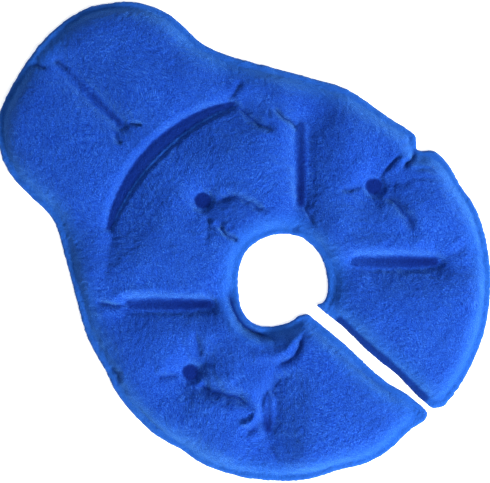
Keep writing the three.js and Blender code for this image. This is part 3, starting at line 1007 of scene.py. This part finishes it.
added, pressed_and_shade, lip, sag = lands(pattern)
flange_share = smooth((RIM_WIDTH + 1.2 - rim) / 2)
inward = rim - RIM_WIDTH
# painted sheen: the pile is painted lighter towards the rim
painted_rim_sheen = RIM_SHEEN_PAINT * (1 - smooth(inward / RIM_SHEEN_REACH))
swell = smooth(inward / 6) * smooth((body[:, 2] - LAND_HEIGHT) / 3)
lumps = 0.35 * noise(x, y, 15, 3) + 0.12 * noise(x, y, 6, 4)
shoulder = smooth(inward / SHOULDER_RISE) * (1 - smooth((inward - SHOULDER_RISE) / SHOULDER_FALL))
base = FLANGE_HEIGHT + loft(body[:, 2], sag) + added + SHOULDER * shoulder + lumps * swell
sunk, painted_crease_shade = relief(pattern)
base -= RELIEF * sunk * np.maximum(swell, 0.6)
base += 0.35 * flange_share * noise(x, y, 4.5, 6)
base = np.maximum(base, FLANGE_HEIGHT - FLANGE_SINK)
grain = nap(x, y)
pile = PILE * grain * (1 - 0.75 * pressed_and_shade) * (1 - 0.5 * flange_share)
rolled = np.sqrt(np.clip(1 - (1 - np.minimum(rim, ROLL) / ROLL) ** 2, 0, 1))
under_height = np.maximum(base - PLUSH, FILM_HEIGHT + 0.05)
top_height = under_height + (base + pile - under_height) * (0.35 + 0.65 * rolled)
under = np.column_stack([body[:, :2], under_height])
top = np.column_stack([body[:, :2], np.maximum(top_height, under_height + LEAST_PLUSH)])

outward = normals(*shell(top, under, faces))[: len(top)]
fringe = smooth(1 - rim / FRINGE) * (0.25 + 0.3 * grain)
top[:, :2] += outward[:, :2] * (fringe + 0.35 * pile * swell)[:, None]

# painted shade in the lands, the creases and by the slit, and painted sheen by the rim and on the arc's lip
marks = {
    "pressed_and_shade": pressed_and_shade,
    "painted_crease_shade": np.clip(painted_crease_shade, 0, 1),
    "flange_and_sheen": np.maximum(np.maximum(flange_share, lip), painted_rim_sheen),
}
covers = pieces_of("cover", top, under, faces, pattern, marks, plush_material())

film_columns, film_faces = subdivided(np.column_stack([flat, edge_distance(flat)]), coarse_faces)
film_flat = film_columns[:, :2]
wrinkles = 0.5 + 0.5 * noise(*film_flat.T, 9, 8)
film_top = np.column_stack([film_flat, np.full(len(film_flat), FILM_HEIGHT)])
film_under = np.column_stack([film_flat, 0.16 * wrinkles * smooth(film_columns[:, 2] / 5)])
films = pieces_of("film", film_top, film_under, film_faces, film_flat, {}, film_material())


def replaced(prefixes, body_name):
    """The CAD nodes of a body whose names start with one of the prefixes."""
    return [n for n in frame["record"]["behaviour"]["bodies"][body_name] if n.startswith(prefixes)]


OWNER = {
    "core": "right_upper", "lobe": "lobe", "right_side": "right_upper", "left_side": "left_upper",
    "right_flap": "right_lower", "left_flap": "left_lower",
}
for body_name, region in OWNER.items():
    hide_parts(*replaced(("face_cover", "face_film", "rim_weld", "weld_"), body_name))
    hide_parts(*replaced(("back_film",), body_name))


# ---- gel, one filling to each body, clear of the folds -------------------------------------------
FOLD_CLEAR = 9
RIM_CLEAR = 3.5  # from the rim weld
WELD_CLEAR = 3
CORE_BOTTOM = -20  # keeps the core's gel off the slit
GEL_GAP = 1  # under the plush
GEL_LEAST = 1.2  # no gel where it would be thinner than this over the film
gel = gel_material()


def gel_room(body_name):
    """Which of the coarse sheet's points have that body's gel under them."""
    room = (edge_distance(flat) > RIM_WIDTH + RIM_CLEAR) & (weld_distance(flat) > WELD_CLEAR)
    for parent, child, fold, _, _ in REGIONS.values():
        middle, across = joint(fold)
        past = (flat - middle[:2]) @ across[:2]
        if body_name == child:
            room &= past > FOLD_CLEAR
        elif body_name == parent:
            room &= past < -FOLD_CLEAR
    slit = SLIT_START - SLIT_SLOPE * flat[:, 1]
    if body_name == "core":
        room &= flat[:, 1] > CORE_BOTTOM
    if body_name.startswith("right"):
        room &= flat[:, 0] > slit
    if body_name.startswith("left"):
        room &= flat[:, 0] < slit
    return room


def gel_piece(body_name):
    """One body's gel: a closed filling between the plush and the film."""
    level = FLANGE_HEIGHT + loft(high[:, 2], lands(flat)[3]) - PLUSH - GEL_GAP
    level -= RELIEF * np.maximum(relief(flat)[0], 0)
    keep = gel_room(body_name) & (level > FILM_HEIGHT + GEL_LEAST)
    mine = coarse_faces[keep[coarse_faces].all(1)]
    used = np.unique(mine)
    index = np.zeros(len(flat), int)
    index[used] = np.arange(len(used))
    values, mine = subdivided(np.column_stack([flat, high[:, :2], level])[used], index[mine])
    lower = np.column_stack([values[:, 2:4], np.full(len(values), FILM_HEIGHT + 0.3)])
    points, closed = shell(values[:, 2:5], lower, mine)
    doubled = np.concatenate([values[:, :2]] * 2)
    made = piece(f"gel_{body_name}", points, closed, normals(points, closed), doubled, {})
    made.data.materials.append(gel)
    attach(made, body_name)
    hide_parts(f"gel_fill_{body_name}")


for body_name in OWNER:
    gel_piece(body_name)

# ---- floor and light -----------------------------------------------------------------------------
FLOOR_REACH = 4
FLOOR_DROP = 0.0001  # so that the film and the floor don't share a plane

floor_material = Shader("floor", Roughness=0.9)
floor_material.main.inputs["Base Color"].default_value = (0.93, 0.93, 0.93, 1)
floor_material.main.inputs["Specular IOR Level"].default_value = 0.0
floor_material.main.inputs["Emission Color"].default_value = (1, 1, 1, 1)
floor_material.main.inputs["Emission Strength"].default_value = 0.5
corners = np.array([(-1, -1, 0), (1, -1, 0), (1, 1, 0), (-1, 1, 0)]) * FLOOR_REACH
floor = mesh_object("floor", corners - (0, 0, FLOOR_DROP), np.array([[0, 1, 2, 3]]))
floor.data.materials.append(floor_material.material)
floor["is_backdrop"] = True


def lamp(name, position, target, size, power):
    data = bpy.data.lights.new(name, "AREA")
    data.shape, data.size, data.energy = "DISK", size, power
    made = bpy.data.objects.new(name, data)
    bpy.context.scene.collection.objects.link(made)
    made.location = position
    made.rotation_euler = (Vector(target) - Vector(position)).to_track_quat("-Z", "Y").to_euler()


lamp("key", (0.12, -1.05, 0.7), (0, 0, 0), 0.4, 44)
lamp("fill", (0.3, 0.2, 1.4), (0, 0, 0), 1.0, 4)
world = bpy.data.worlds.new("studio")
world.use_nodes = True
world.node_tree.nodes["Background"].inputs["Color"].default_value = (0.9, 0.95, 1, 1)
world.node_tree.nodes["Background"].inputs["Strength"].default_value = 0.32
bpy.context.scene.world = world

{"cad": cad_box, "visual": [list(corner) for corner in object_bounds()]}
